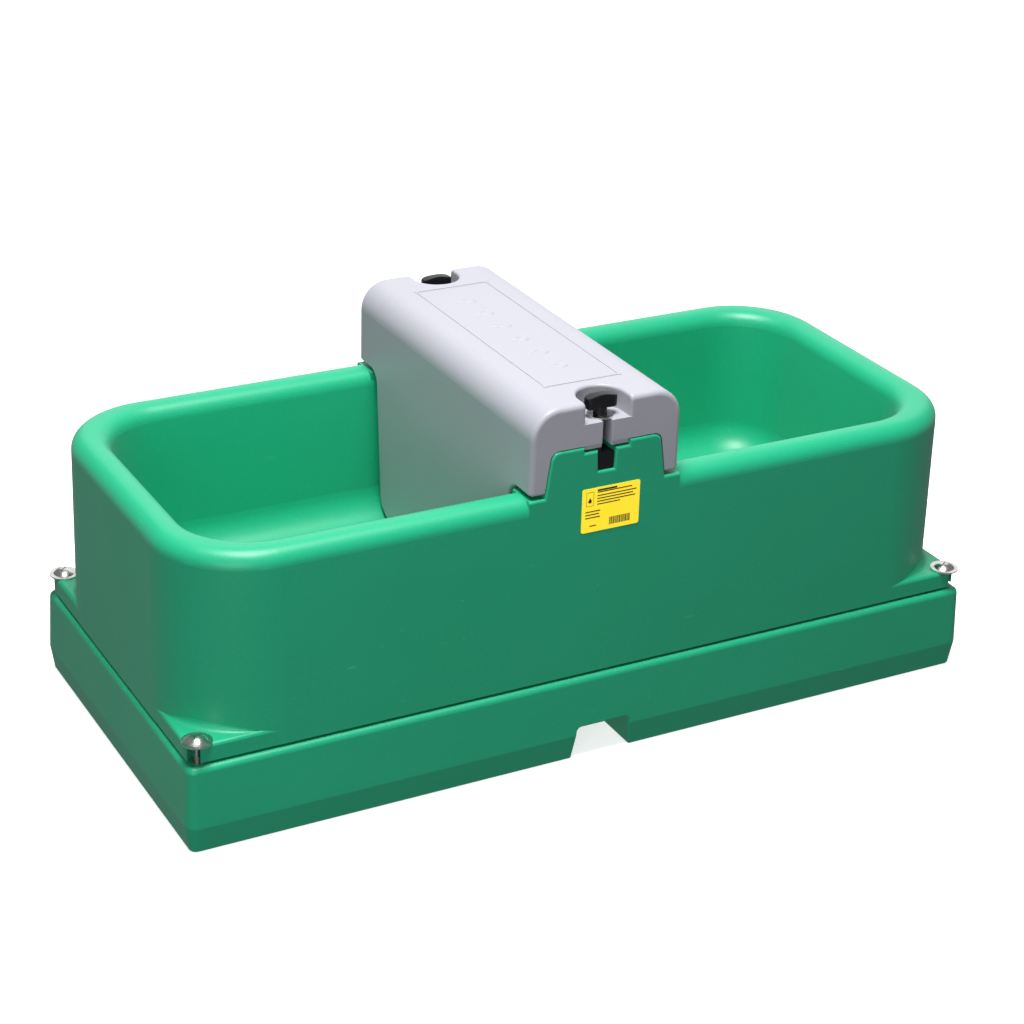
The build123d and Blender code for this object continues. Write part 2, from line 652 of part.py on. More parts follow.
def clamp_stud():
    """Stud moulded into the near knob."""
    return column(STUD_RADIUS, STUD_END, WASHER_TOP + KNOB_SEAT, 0, -KNOB_Y)


def knob():
    """Two-winged clamp knob with a blind hole for its stud."""
    hub = column(KNOB_HUB_RADIUS, WASHER_TOP, WASHER_TOP + KNOB_HUB_HEIGHT, 0, -KNOB_Y)
    wing_low = WASHER_TOP + KNOB_HUB_HEIGHT - MARGIN
    wings = Pos(0, -KNOB_Y, wing_low) * extrude(SlotOverall(KNOB_LENGTH, KNOB_WIDTH), KNOB_TOP - wing_low)
    wings = fillet(wings.faces().sort_by(Axis.Z)[-1].edges(), KNOB_EDGE)
    hole = column(STUD_RADIUS + MOULDED_IN, WASHER_TOP - MARGIN, WASHER_TOP + KNOB_SEAT, 0, -KNOB_Y)
    return hub + wings - hole


def clamp_anchor():
    """Block in the near tower's slot that takes the stud."""
    half = SLOT_WIDTH / 2 - SLOT_TAPER - ANCHOR_CLEARANCE
    front = wall_half_width(TOWER_TOP) - ANCHOR_SETBACK
    solid = block((-half, -front, SLOT_FLOOR), (half, -SLOT_BACK, ANCHOR_TOP))
    return solid - column(STUD_RADIUS + STUD_CLEARANCE, SLOT_FLOOR + MARGIN, REACH, 0, -KNOB_Y)


# Water inlet and drain


def locknut(radius, hole):
    """Hexagonal nut under the trough's bottom skin, at the origin."""
    return Pos(0, 0, NUT_LOW) * extrude(RegularPolygon(radius, 6) - Circle(hole), NUT_HEIGHT)


def inlet_gasket():
    """Rubber ring between the basin floor and the inlet's flange."""
    return ring(FLANGE_RADIUS, INLET_RADIUS + THREAD_CLEARANCE, BASIN_FLOOR, INLET_FLANGE_LOW, 0, INLET_Y)


def inlet_bulkhead():
    """Threaded tube through the basin floor, with its flange."""
    tail = ring(INLET_TAIL_RADIUS, INLET_BORE, INLET_END, TAIL_TOP, 0, INLET_Y)
    stem = ring(INLET_RADIUS, INLET_BORE, TAIL_TOP, INLET_TOP, 0, INLET_Y)
    flange_top = INLET_FLANGE_LOW + FLANGE_THICKNESS
    flange = ring(FLANGE_RADIUS, INLET_BORE, INLET_FLANGE_LOW, flange_top, 0, INLET_Y)
    return tail + stem + flange


def riser_pipe():
    """Pipe that stands on the inlet and carries the valve."""
    flange_top = INLET_FLANGE_LOW + FLANGE_THICKNESS
    socket_bore = INLET_RADIUS + THREAD_CLEARANCE
    socket = ring(socket_bore + RISER_WALL, socket_bore, flange_top, INLET_TOP, 0, INLET_Y)
    shoulder = ring(socket_bore + RISER_WALL, INLET_BORE, INLET_TOP, INLET_TOP + RISER_WALL, 0, INLET_Y)
    pipe_top = VALVE_Z - VALVE_RADIUS
    return socket + shoulder + ring(INLET_BORE + RISER_WALL, INLET_BORE, INLET_TOP, pipe_top, 0, INLET_Y)


def drain_seat():
    """Drain fitting through the floor of the left bowl."""
    low = BASIN_FLOOR + GASKET_THICKNESS
    tail = ring(DRAIN_TAIL_RADIUS, DRAIN_BORE, DRAIN_END, TAIL_TOP, DRAIN_X, 0)
    stem = ring(DRAIN_RADIUS, DRAIN_BORE, TAIL_TOP, low + MARGIN, DRAIN_X, 0)
    return tail + stem + ring(DRAIN_FLANGE_RADIUS, DRAIN_BORE, low, low + FLANGE_THICKNESS, DRAIN_X, 0)


def drain_gasket():
    """Rubber ring under the drain's flange."""
    inner = DRAIN_RADIUS + THREAD_CLEARANCE
    return ring(DRAIN_FLANGE_RADIUS, inner, BASIN_FLOOR, BASIN_FLOOR + GASKET_THICKNESS, DRAIN_X, 0)


def plug_seal():
    """Ring in the plug's groove."""
    middle = BASIN_FLOOR + GASKET_THICKNESS + FLANGE_THICKNESS - PLUG_LENGTH / 2
    groove = DRAIN_BORE - PLUG_CLEARANCE - SEAL_DEPTH
    half = SEAL_HEIGHT / 2
    return ring(DRAIN_BORE - SEAL_CLEARANCE, groove, middle - half, middle + half, DRAIN_X, 0)


def drain_plug():
    """Plug with a grip bar, standing in the drain."""
    seat = BASIN_FLOOR + GASKET_THICKNESS + FLANGE_THICKNESS
    plug = column(DRAIN_BORE - PLUG_CLEARANCE, seat - PLUG_LENGTH, seat, DRAIN_X, 0)
    head_top = seat + PLUG_HEAD_HEIGHT
    head = column(PLUG_HEAD_RADIUS, seat, head_top, DRAIN_X, 0)
    head = fillet(head.faces().sort_by(Axis.Z)[-1].edges(), PLUG_HEAD_HEIGHT / 4)
    grip_outline = SlotOverall(PLUG_GRIP_LENGTH, PLUG_GRIP_WIDTH)
    grip = Pos(DRAIN_X, 0, head_top) * extrude(grip_outline, PLUG_GRIP_HEIGHT)
    grip = fillet(grip.faces().sort_by(Axis.Z)[-1].edges(), PLUG_GRIP_WIDTH / 4)
    middle = seat - PLUG_LENGTH / 2
    groove = DRAIN_BORE - PLUG_CLEARANCE - SEAL_DEPTH
    groove_low, groove_high = middle - SEAL_HEIGHT / 2, middle + SEAL_HEIGHT / 2
    return plug + head + grip - ring(DRAIN_BORE, groove, groove_low, groove_high, DRAIN_X, 0)


# Float valve

VALVE_MOUTH = INLET_Y - VALVE_FRONT
SEAT_Y = INLET_Y - SEAT_BEHIND_AXIS
FINGER_Y = PIVOT_Y - PIVOT_DROP * math.sin(math.radians(FINGER_TILT))
PLUNGER_END = FINGER_Y + FINGER_TIP_RADIUS + FINGER_GAP
PLUNGER_FACE = SEAT_Y - SEAT_THICKNESS - PLUNGER_OPENING - PLUNGER_SEAL_THICKNESS
PLUNGER_RADIUS = VALVE_BORE - PLUNGER_CLEARANCE


def valve_body():
    """Barrel on the riser pipe, with the two ears that hold the float arm's pin."""
    low = VALVE_Z - VALVE_RADIUS - VALVE_SOCKET_DEPTH
    body = rod_y(VALVE_RADIUS, VALVE_MOUTH, INLET_Y + VALVE_BACK, 0, VALVE_Z)
    body += column(VALVE_SOCKET_RADIUS, low, VALVE_Z, 0, INLET_Y)
    outer = EAR_INSIDE + EAR_THICKNESS
    ear_corners = [
        (PIVOT_Y, PIVOT_Z - EAR_RADIUS),
        (VALVE_MOUTH + EAR_RADIUS, VALVE_Z - VALVE_RADIUS),
        (VALVE_MOUTH + EAR_RADIUS, VALVE_Z),
        (VALVE_MOUTH, VALVE_Z),
        (PIVOT_Y, PIVOT_Z + EAR_RADIUS),
    ]
    ears = along_x(make_face(Polyline(*ear_corners, close=True)), outer)
    ears += rod_x(EAR_RADIUS, -outer, outer, PIVOT_Y, PIVOT_Z)
    ears -= block((-EAR_INSIDE, -REACH, 0), (EAR_INSIDE, REACH, REACH))
    body += ears
    body -= rod_y(VALVE_BORE, -REACH, SEAT_Y, 0, VALVE_Z)
    body -= rod_y(SEAT_HOLE_RADIUS, SEAT_Y - MARGIN, INLET_Y, 0, VALVE_Z)
    ahead_of_seat = block((-REACH, -REACH, 0), (REACH, SEAT_Y + MARGIN, REACH))
    body -= column(INLET_BORE, 0, VALVE_Z, 0, INLET_Y) - ahead_of_seat
    body -= column(INLET_BORE + RISER_WALL + THREAD_CLEARANCE, 0, VALVE_Z - VALVE_RADIUS, 0, INLET_Y)
    return body - rod_x(PIVOT_RADIUS, -REACH, REACH, PIVOT_Y, PIVOT_Z)


def valve_seat():
    """Seat ring at the end of the valve's bore."""
    outside = rod_y(VALVE_BORE, SEAT_Y - SEAT_THICKNESS, SEAT_Y, 0, VALVE_Z)
    return outside - rod_y(SEAT_HOLE_RADIUS, -REACH, REACH, 0, VALVE_Z)


def valve_plunger():
    """Piston pushed by the float arm's finger."""
    return rod_y(PLUNGER_RADIUS, PLUNGER_END, PLUNGER_FACE, 0, VALVE_Z)


def plunger_seal():
    """Rubber disc on the plunger's face."""
    return rod_y(PLUNGER_SEAL_RADIUS, PLUNGER_FACE, PLUNGER_FACE + PLUNGER_SEAL_THICKNESS, 0, VALVE_Z)


def arm_pin():
    """Pivot pin of the float arm, with its head."""
    outer = EAR_INSIDE + EAR_THICKNESS
    shank = rod_x(PIVOT_RADIUS, -outer, outer + 2 * CLIP_THICKNESS, PIVOT_Y, PIVOT_Z)
    return shank + rod_x(PIN_HEAD_RADIUS, -outer - PIN_HEAD_THICKNESS, -outer, PIVOT_Y, PIVOT_Z)


def arm_pin_clip():
    """Ring that keeps the pivot pin in its ears."""
    outer = EAR_INSIDE + EAR_THICKNESS
    disc = rod_x(CLIP_RADIUS, outer, outer + CLIP_THICKNESS, PIVOT_Y, PIVOT_Z)
    return disc - rod_x(PIVOT_RADIUS, -REACH, REACH, PIVOT_Y, PIVOT_Z)


def hang(piece):
    """Turns a piece of the level float arm down about its pivot."""
    return Pos(0, PIVOT_Y, PIVOT_Z) * Rot(ARM_HANG, 0, 0) * Pos(0, -PIVOT_Y, -PIVOT_Z) * piece


FLOAT_Y = PIVOT_Y - ARM_LENGTH
FLOAT_NEAR_PIVOT = FLOAT_Y + FLOAT_DEPTH / 2


def float_arm():
    """Lever with its hub, its rod to the float and the finger that pushes the plunger."""
    hub = rod_x(ARM_HUB_RADIUS, -ARM_HUB_WIDTH / 2, ARM_HUB_WIDTH / 2, PIVOT_Y, PIVOT_Z)
    rod = rod_y(ARM_RADIUS, FLOAT_Y, PIVOT_Y, 0, PIVOT_Z)
    tip_z = PIVOT_DROP * math.cos(math.radians(FINGER_TILT))
    tip = rod_x(FINGER_TIP_RADIUS, -FINGER_THICKNESS / 2, FINGER_THICKNESS / 2, FINGER_Y, PIVOT_Z + tip_z)
    half = FINGER_THICKNESS / 2
    stem = block((-half, -FINGER_STEM_DEPTH / 2, 0), (half, FINGER_STEM_DEPTH / 2, PIVOT_DROP))
    finger = Pos(0, PIVOT_Y, PIVOT_Z) * Rot(FINGER_TILT, 0, 0) * stem + tip
    arm = hang(hub + rod) + finger
    return arm - rod_x(PIVOT_RADIUS + PIVOT_CLEARANCE, -REACH, REACH, PIVOT_Y, PIVOT_Z)


def float_body():
    """Hollow-looking sealed float on the end of the arm."""
    solid = Pos(0, FLOAT_Y, PIVOT_Z) * Box(FLOAT_LENGTH, FLOAT_DEPTH, FLOAT_HEIGHT)
    solid = fillet(solid.edges(), FLOAT_ROUND)
    return hang(solid - rod_y(ARM_RADIUS + MOULDED_IN, FLOAT_Y, PIVOT_Y, 0, PIVOT_Z))


def float_wing_nut():
    """Wing nut that locks the float on its arm."""
    end = FLOAT_NEAR_PIVOT + WING_NUT_LENGTH
    nut = rod_y(WING_NUT_RADIUS, FLOAT_NEAR_PIVOT, end, 0, PIVOT_Z)
    half = WING_SPAN / 2
    wing_low, wing_high = PIVOT_Z - WING_THICKNESS / 2, PIVOT_Z + WING_THICKNESS / 2
    wings = block((-half, FLOAT_NEAR_PIVOT + MARGIN, wing_low), (half, end - MARGIN, wing_high))
    return hang(nut + wings - rod_y(ARM_RADIUS + MOULDED_IN, -REACH, REACH, 0, PIVOT_Z))


def nodes():
    """Every named piece of the trough, in its place."""
    pieces = {
        "base_tray": base_tray(),
        "corner_inserts": at_corners(corner_insert()),
        "corner_washers": at_corners(corner_washer()),
        "corner_screws": at_corners(corner_screw()),
        "trough_shell": trough_shell(),
        "insulation_foam": insulation_space(FOAM_CLEARANCE),
        "foam_port_plug": foam_port_plug(),
        "rating_label": rating_label(),
        "cover": Pos(TOWER_X, 0, 0) * cover(),
        "inlet_gasket": inlet_gasket(),
        "inlet_bulkhead": inlet_bulkhead(),
        "inlet_locknut": Pos(0, INLET_Y, 0) * locknut(NUT_RADIUS, INLET_RADIUS + THREAD_CLEARANCE),
        "riser_pipe": riser_pipe(),
        "drain_seat": drain_seat(),
        "drain_gasket": drain_gasket(),
        "drain_locknut": Pos(DRAIN_X, 0, 0) * locknut(DRAIN_NUT_RADIUS, DRAIN_RADIUS + THREAD_CLEARANCE),
        "drain_plug": drain_plug(),
        "plug_seal": plug_seal(),
        "valve_body": valve_body(),
        "valve_seat": valve_seat(),
        "valve_plunger": valve_plunger(),
        "plunger_seal": plunger_seal(),
        "arm_pin": arm_pin(),
        "arm_pin_clip": arm_pin_clip(),
        "float_arm": float_arm(),
        "float": float_body(),
        "float_wing_nut": float_wing_nut(),
    }
    ends = {
        "knob": knob(),
        "clamp_stud": clamp_stud(),
        "knob_washer": knob_washer(),
        "clamp_anchor": clamp_anchor(),
    }
    for name, piece in ends.items():
        pieces["near_" + name] = Pos(TOWER_X, 0, 0) * piece
        pieces["far_" + name] = Pos(TOWER_X, 0, 0) * Rot(0, 0, 180) * piece
    return pieces


os.makedirs("parts", exist_ok=True)
for node, shape in nodes().items():
    export_step(shape, f"parts/{node}.step")
    print(node, round(shape.volume))
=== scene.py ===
"""Looks, light and camera for a two-bowl insulated livestock trough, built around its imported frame."""

import json
import logging
import math
from dataclasses import dataclass, field
from enum import Enum
from typing import Any, Iterable, Sequence

import bmesh
import bpy
from mathutils import Matrix, Quaternion, Vector


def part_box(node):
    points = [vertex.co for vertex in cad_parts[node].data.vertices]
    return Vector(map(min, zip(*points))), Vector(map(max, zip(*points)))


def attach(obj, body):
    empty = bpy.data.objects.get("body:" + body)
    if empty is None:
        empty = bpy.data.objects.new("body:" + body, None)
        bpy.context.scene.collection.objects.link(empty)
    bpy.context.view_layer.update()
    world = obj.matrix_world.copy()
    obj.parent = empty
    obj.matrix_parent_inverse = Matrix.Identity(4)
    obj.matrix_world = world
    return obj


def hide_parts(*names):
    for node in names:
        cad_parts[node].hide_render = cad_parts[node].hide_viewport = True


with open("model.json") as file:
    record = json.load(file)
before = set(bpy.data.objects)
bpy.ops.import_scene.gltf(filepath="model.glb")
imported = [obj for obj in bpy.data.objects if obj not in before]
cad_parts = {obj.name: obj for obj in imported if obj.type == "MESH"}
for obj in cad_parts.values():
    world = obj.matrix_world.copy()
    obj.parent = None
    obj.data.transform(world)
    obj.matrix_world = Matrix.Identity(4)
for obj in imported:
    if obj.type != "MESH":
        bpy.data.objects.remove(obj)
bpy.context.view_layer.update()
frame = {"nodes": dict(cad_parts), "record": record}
MM = 0.001
SHARP = math.radians(48.0)
LOG = logging.getLogger("trough")

Colour = tuple[float, float, float]


# Shader maths


class Signal:
    """A number on a node socket that Python's operators turn into Math nodes."""

    def __init__(self, graph: "Graph", socket: Any) -> None:
        """Wraps a socket.

        Args:
            graph: The material graph that the socket is in.
            socket: The output socket.
        """
        self.graph = graph
        self.socket = socket

    def math(self, operation: str, *others: Any) -> "Signal":
        """Adds one Math node.

        Args:
            operation: The Math node's operation.
            others: The remaining operands, signals or numbers.

        Returns:
            The node's result.
        """
        sockets = {0: self, **dict(enumerate(others, 1))}
        node = self.graph.node("ShaderNodeMath", {"operation": operation}, sockets)
        return Signal(self.graph, node.outputs[0])

    def __add__(self, other: Any) -> "Signal":
        """Sum."""
        return self.math("ADD", other)

    def __radd__(self, other: float) -> "Signal":
        """Sum with a number on the left."""
        return self.math("ADD", other)

    def __sub__(self, other: Any) -> "Signal":
        """Difference."""
        return self.math("SUBTRACT", other)

    def __rsub__(self, other: float) -> "Signal":
        """Difference with a number on the left."""
        return (self * -1.0).math("ADD", other)

    def __mul__(self, other: Any) -> "Signal":
        """Product."""
        return self.math("MULTIPLY", other)

    def __rmul__(self, other: float) -> "Signal":
        """Product with a number on the left."""
        return self.math("MULTIPLY", other)

    def above(self, edge: float, soft: float) -> "Signal":
        """A mask that rises from 0 to 1 over a soft edge.

        Args:
            edge: Where the mask is half up.
            soft: The width of its rise.

        Returns:
            The mask, held between 0 and 1.
        """
        sockets = {"Value": self, "From Min": edge - soft / 2, "From Max": edge + soft / 2,
                   "To Min": 0.0, "To Max": 1.0}
        node = self.graph.node("ShaderNodeMapRange", {"interpolation_type": "SMOOTHSTEP"}, sockets)
        return Signal(self.graph, node.outputs[0])


class Graph:
    """One material's node tree."""

    def __init__(self, name: str) -> None:
        """Starts an empty material.

        Args:
            name: The material's name.
        """
        self.material = bpy.data.materials.new(name)
        self.material.use_nodes = True
        self.tree = self.material.node_tree
        self.tree.nodes.clear()
        self.place = self.node("ShaderNodeTexCoord").outputs["Object"]

    def node(self, kind: str, settings: dict[str, Any] | None = None,
             sockets: dict[Any, Any] | None = None) -> Any:
        """Adds a node of any type.

        Args:
            kind: The node's type.
            settings: Attributes set before the sockets; "stops" fills a colour ramp.
            sockets: Values, signals or output sockets by input name or number.

        Returns:
            The new node.
        """
        node = self.tree.nodes.new(kind)
        for key, value in (settings or {}).items():
            if key == "stops":
                ramp = node.color_ramp.elements
                while len(ramp) < len(value):
                    ramp.new(1.0)
                for element, (position, colour) in zip(ramp, value):
                    element.position = position
                    element.color = (*colour, 1.0)
            else:
                setattr(node, key, value)
        for key, value in (sockets or {}).items():
            if isinstance(value, Signal):
                value = value.socket
            if isinstance(value, bpy.types.NodeSocket):
                self.tree.links.new(value, node.inputs[key])
            elif isinstance(value, tuple) and len(value) == 3 and node.inputs[key].type == "RGBA":
                node.inputs[key].default_value = (*value, 1.0)
            else:
                node.inputs[key].default_value = value
        return node

    def stretched(self, scale: Sequence[float], turn: Sequence[float] = (0.0, 0.0, 0.0)) -> Any:
        """Object coordinates with a scale for each axis.

        Args:
            scale: The scale along each axis.
            turn: Angles about each axis, in radians.

        Returns:
            The coordinates' socket.
        """
        sockets = {"Vector": self.place, "Scale": tuple(scale), "Rotation": tuple(turn)}
        return self.node("ShaderNodeMapping", {}, sockets).outputs[0]

    def noise(self, scale: float, detail: float = 2.0, roughness: float = 0.5,
              place: Any = None) -> Signal:
        """Smooth noise from 0 to 1.

        Args:
            scale: Features per metre.
            detail: How many finer layers it has.
            roughness: How strong those layers are.
            place: Coordinates other than the object's own.

        Returns:
            The noise as a signal.
        """
        sockets = {"Vector": place or self.place, "Scale": scale, "Detail": detail,
                   "Roughness": roughness}
        return Signal(self, self.node("ShaderNodeTexNoise", {}, sockets).outputs[0])

    def specks(self, scale: float, size: float) -> Signal:
        """Small round dots scattered over the surface.

        Args:
            scale: Cells per metre.
            size: A dot's radius as a share of its cell.

        Returns:
            A mask, 1 in the dots.
        """
        cell = self.node("ShaderNodeTexVoronoi", {}, {"Vector": self.place, "Scale": scale})
        return 1.0 - Signal(self, cell.outputs["Distance"]).above(size, size * 0.6)

    def mix(self, factor: Any, first: Any, second: Any) -> Any:
        """Mixes two colours.

        Args:
            factor: The share of the second.
            first: A colour or socket.
            second: A colour or socket.

        Returns:
            The mixed colour's socket.
        """
        settings = {"data_type": "RGBA", "clamp_factor": True}
        node = self.node("ShaderNodeMix", settings, {0: factor, 6: first, 7: second})
        return node.outputs[2]

    def bump(self, height: Signal, distance: float, strength: float = 1.0, under: Any = None) -> Any:
        """Relief from a height signal.

        Args:
            height: The relief, about 0 to 1.
            distance: Its depth in metres.
            strength: How much of it shows.
            under: Another bump's normal to add to.

        Returns:
            The normal's socket.
        """
        sockets = {"Height": height, "Distance": distance, "Strength": strength}
        if under is not None:
            sockets["Normal"] = under
        return self.node("ShaderNodeBump", {}, sockets).outputs[0]

    def surface(self, sockets: dict[str, Any]) -> bpy.types.Material:
        """Ends the graph in one Principled shader.

        Args:
            sockets: The shader's values and links.

        Returns:
            The finished material.
        """
        shader = self.node("ShaderNodeBsdfPrincipled", {}, sockets)
        self.node("ShaderNodeOutputMaterial", {}, {"Surface": shader.outputs[0]})
        return self.material


# Finishes


@dataclass(frozen=True)
class Polyethylene:
    """Rotomoulded polyethylene: a waxy skin with pigment mottling, dimples and fine scratches."""

    name: str
    body: Colour
    pale: Colour
    deep: Colour
    gloss: float = 0.40
    wave: float = 0.9 * MM
    mottle: float = 0.35
    bloom: float = 0.0

    def material(self) -> bpy.types.Material:
        """Builds the material."""
        g = Graph(self.name)
        cloud = g.noise(3.2, 3.0, 0.55)
        grain = g.noise(420.0, 2.0, 0.6)
        fleck = g.specks(34.0, 0.032) * g.noise(7.0, 1.0).above(0.52, 0.06)
        along = g.stretched((14.0, 420.0, 90.0), (0.3, 0.2, 0.5))
        scratches = g.noise(1.0, 2.0, 0.6, along).above(0.735, 0.03)
        across = g.stretched((380.0, 12.0, 60.0), (0.1, 0.5, -0.4))
        scratches = scratches + g.noise(1.0, 2.0, 0.6, across).above(0.745, 0.03)
        scuffs = scratches * g.noise(5.0, 2.0).above(0.52, 0.12)
        colour = g.mix(cloud.above(0.5, 0.7) * self.mottle, self.body, self.deep)
        colour = g.mix(grain.above(0.62, 0.3) * 0.12, colour, self.pale)
        colour = g.mix(scuffs * 0.30, colour, self.pale)
        colour = g.mix(fleck * 0.7, colour, self.pale)
        roughness = (cloud - 0.5) * 0.16 + grain * 0.06 + scuffs * 0.12 + self.gloss
        relief = g.bump(g.noise(9.0, 1.5, 0.4), self.wave)
        relief = g.bump(g.noise(150.0, 2.0, 0.5), 0.10 * MM, 0.7, relief)
        relief = g.bump(grain - scuffs * 0.5, 0.035 * MM, 0.6, relief)
        return g.surface({"Base Color": colour, "Roughness": roughness, "Normal": relief, "IOR": 1.5,
                          "Sheen Weight": self.bloom, "Sheen Roughness": 0.45})


@dataclass(frozen=True)
class MouldedPlastic:
    """Injection-moulded plastic or rubber with a fine spark-eroded grain."""

    name: str
    body: Colour
    pale: Colour
    gloss: float
    grain: float = 900.0
    depth: float = 0.04 * MM
    shine: float = 0.5

    def material(self) -> bpy.types.Material:
        """Builds the material."""
        g = Graph(self.name)
        cloud = g.noise(28.0, 3.0, 0.6)
        grain = g.noise(self.grain, 2.0, 0.6)
        dust = g.noise(90.0, 4.0, 0.7).above(0.60, 0.18)
        colour = g.mix(cloud * 0.35 + dust * 0.20, self.body, self.pale)
        roughness = (cloud - 0.5) * 0.14 + dust * 0.12 + self.gloss
        relief = g.bump(grain + cloud * 0.6, self.depth, 0.8)
        return g.surface({"Base Color": colour, "Roughness": roughness, "Normal": relief,
                          "Specular IOR Level": self.shine})


class Lay(Enum):
    """Direction of the fine marks on a metal."""

    ACROSS = (1200.0, 900.0, 30.0)
    CAST = (320.0, 320.0, 320.0)


@dataclass(frozen=True)
class Metal:
    """Bare metal with tool marks and a little tarnish."""

    name: str
    body: Colour
    tarnish: Colour
    gloss: float
    lay: Lay = Lay.CAST

    def material(self) -> bpy.types.Material:
        """Builds the material."""
        g = Graph(self.name)
        marks = g.noise(1.0, 3.0, 0.6, g.stretched(self.lay.value))
        stain = g.noise(60.0, 4.0, 0.65).above(0.56, 0.25)
        colour = g.mix(stain * 0.55 + marks * 0.15, self.body, self.tarnish)
        roughness = marks * 0.14 + stain * 0.22 + self.gloss
        relief = g.bump(marks, 0.03 * MM, 0.6)
        return g.surface({"Base Color": colour, "Roughness": roughness, "Metallic": 1.0,
                          "Normal": relief})


@dataclass(frozen=True)
class FoamFill:
    """Cut rigid foam with open cells."""

    name: str = "rigid_foam"
    body: Colour = (0.74, 0.62, 0.34)
    cell: Colour = (0.42, 0.32, 0.14)

    def material(self) -> bpy.types.Material:
        """Builds the material."""
        g = Graph(self.name)
        cells = g.specks(700.0, 0.35)
        cloud = g.noise(14.0, 3.0)
        colour = g.mix(cells * 0.5 + cloud * 0.3, self.body, self.cell)
        return g.surface({"Base Color": colour, "Roughness": 0.85 - cells * 0.1,
                          "Normal": g.bump(cells, -0.2 * MM)})


@dataclass(frozen=True)
class PrintedFilm:
    """Smooth printed label film, slightly cockled where it was rubbed down, with an optional painted glow
    from emission.
    """

    name: str
    body: Colour
    worn: Colour
    # The emission colour here is a painted glow: it makes the film look brighter than the lamps light it.
    painted_glow: Colour = (0.0, 0.0, 0.0)

    def material(self) -> bpy.types.Material:
        """Builds the material."""
        g = Graph(self.name)
        rub = g.noise(160.0, 4.0, 0.7).above(0.62, 0.14)
        cloud = g.noise(35.0, 2.0)
        colour = g.mix(rub * 0.22 + cloud * 0.10, self.body, self.worn)
        relief = g.bump(g.noise(45.0, 1.0) + rub * 0.1, 0.12 * MM)
        return g.surface({"Base Color": colour, "Roughness": 0.30 + rub * 0.2, "Normal": relief,
                          # Emission gives the film a painted glow; the label is no lamp.
                          "Emission Color": self.painted_glow,
                          "Emission Strength": 1.0 if any(self.painted_glow) else 0.0})


GREEN = Polyethylene("green_polyethylene", (0.006, 0.385, 0.192), (0.10, 0.56, 0.37),
                     (0.004, 0.335, 0.155), bloom=0.07)
GREY = Polyethylene("grey_polyethylene", (0.39, 0.39, 0.435), (0.55, 0.55, 0.59),
                    (0.345, 0.345, 0.39), 0.42, 1.1 * MM)
BLACK = MouldedPlastic("black_nylon", (0.004, 0.004, 0.006), (0.012, 0.012, 0.015), 0.36, shine=0.3)
ACETAL = MouldedPlastic("white_acetal", (0.74, 0.74, 0.70), (0.82, 0.82, 0.80), 0.28)
BLUE = MouldedPlastic("blue_float_plastic", (0.020, 0.085, 0.300), (0.06, 0.15, 0.40), 0.36, 500.0)
STOPPER = MouldedPlastic("grey_stopper", (0.12, 0.125, 0.135), (0.22, 0.22, 0.23), 0.42)
RUBBER = MouldedPlastic("rubber", (0.016, 0.016, 0.016), (0.05, 0.05, 0.05), 0.62, 1400.0)
STEEL = Metal("stainless_steel", (0.66, 0.65, 0.62), (0.42, 0.40, 0.37), 0.14, Lay.CAST)
BRASS = Metal("brass", (0.72, 0.50, 0.20), (0.40, 0.25, 0.09), 0.22, Lay.ACROSS)
# The yellow label's third colour is a painted glow from emission, brightening it beyond what the lamps give.
FILM = PrintedFilm("yellow_label", (0.93, 0.74, 0.014), (0.95, 0.86, 0.45), (0.52, 0.37, 0.006))
INK = PrintedFilm("label_ink", (0.012, 0.012, 0.014), (0.12, 0.11, 0.08))


class Finish(Enum):
    """The record's material slots and the finish each one gets."""

    GREEN_POLYETHYLENE = GREEN
    GREY_POLYETHYLENE = GREY
    BLACK_NYLON = BLACK
    WHITE_ACETAL = ACETAL
    BLUE_FLOAT_PLASTIC = BLUE
    GREY_STOPPER = STOPPER
    RUBBER_COMPOUND = RUBBER
    STAINLESS_STEEL = STEEL
    BRASS_ALLOY = BRASS
    YELLOW_LABEL = FILM
    INSULATION = FoamFill()


SLOT_FINISH = {
    "green_polyethylene": Finish.GREEN_POLYETHYLENE,
    "grey_polyethylene": Finish.GREY_POLYETHYLENE,
    "black_nylon": Finish.BLACK_NYLON,
    "white_acetal": Finish.WHITE_ACETAL,
    "blue_float_plastic": Finish.BLUE_FLOAT_PLASTIC,
    "grey_stopper": Finish.GREY_STOPPER,
    "rubber": Finish.RUBBER_COMPOUND,
    "stainless_steel": Finish.STAINLESS_STEEL,
    "brass": Finish.BRASS_ALLOY,
    "yellow_label": Finish.YELLOW_LABEL,
    "insulation": Finish.INSULATION,
}


@dataclass
class Palette:
    """Makes each finish once and hands it out."""

    made: dict[str, bpy.types.Material] = field(default_factory=dict)

    def get(self, finish: Any) -> bpy.types.Material:
        """Returns the material of a finish, built on first use."""
        if finish.name not in self.made:
            self.made[finish.name] = finish.material()
        return self.made[finish.name]


# Mesh helpers


def new_piece(name: str, bm: bmesh.types.BMesh, material: bpy.types.Material, body: str) -> bpy.types.Object:
    """Turns a bmesh into a finished piece that rides on a body.

    Args:
        name: The piece's name.
        bm: Its geometry, in metres in the frame; freed here.
        material: Its material.
        body: The body that it moves with.

    Returns:
        The new object.
    """
    bmesh.ops.recalc_face_normals(bm, faces=bm.faces)
    for edge in bm.edges:
        edge.smooth = edge.calc_face_angle(0.0) < SHARP
    mesh = bpy.data.meshes.new(name)
    bm.to_mesh(mesh)
    bm.free()
    for polygon in mesh.polygons:
        polygon.use_smooth = True
    mesh.materials.append(material)
    piece = bpy.data.objects.new(name, mesh)
    bpy.context.scene.collection.objects.link(piece)
    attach(piece, body)
    LOG.info("%s: %d faces on %s", name, len(mesh.polygons), body)
    return piece


def middle(node: str) -> Vector:
    """Centre of a node's box."""
    low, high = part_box(node)
    return (low + high) / 2


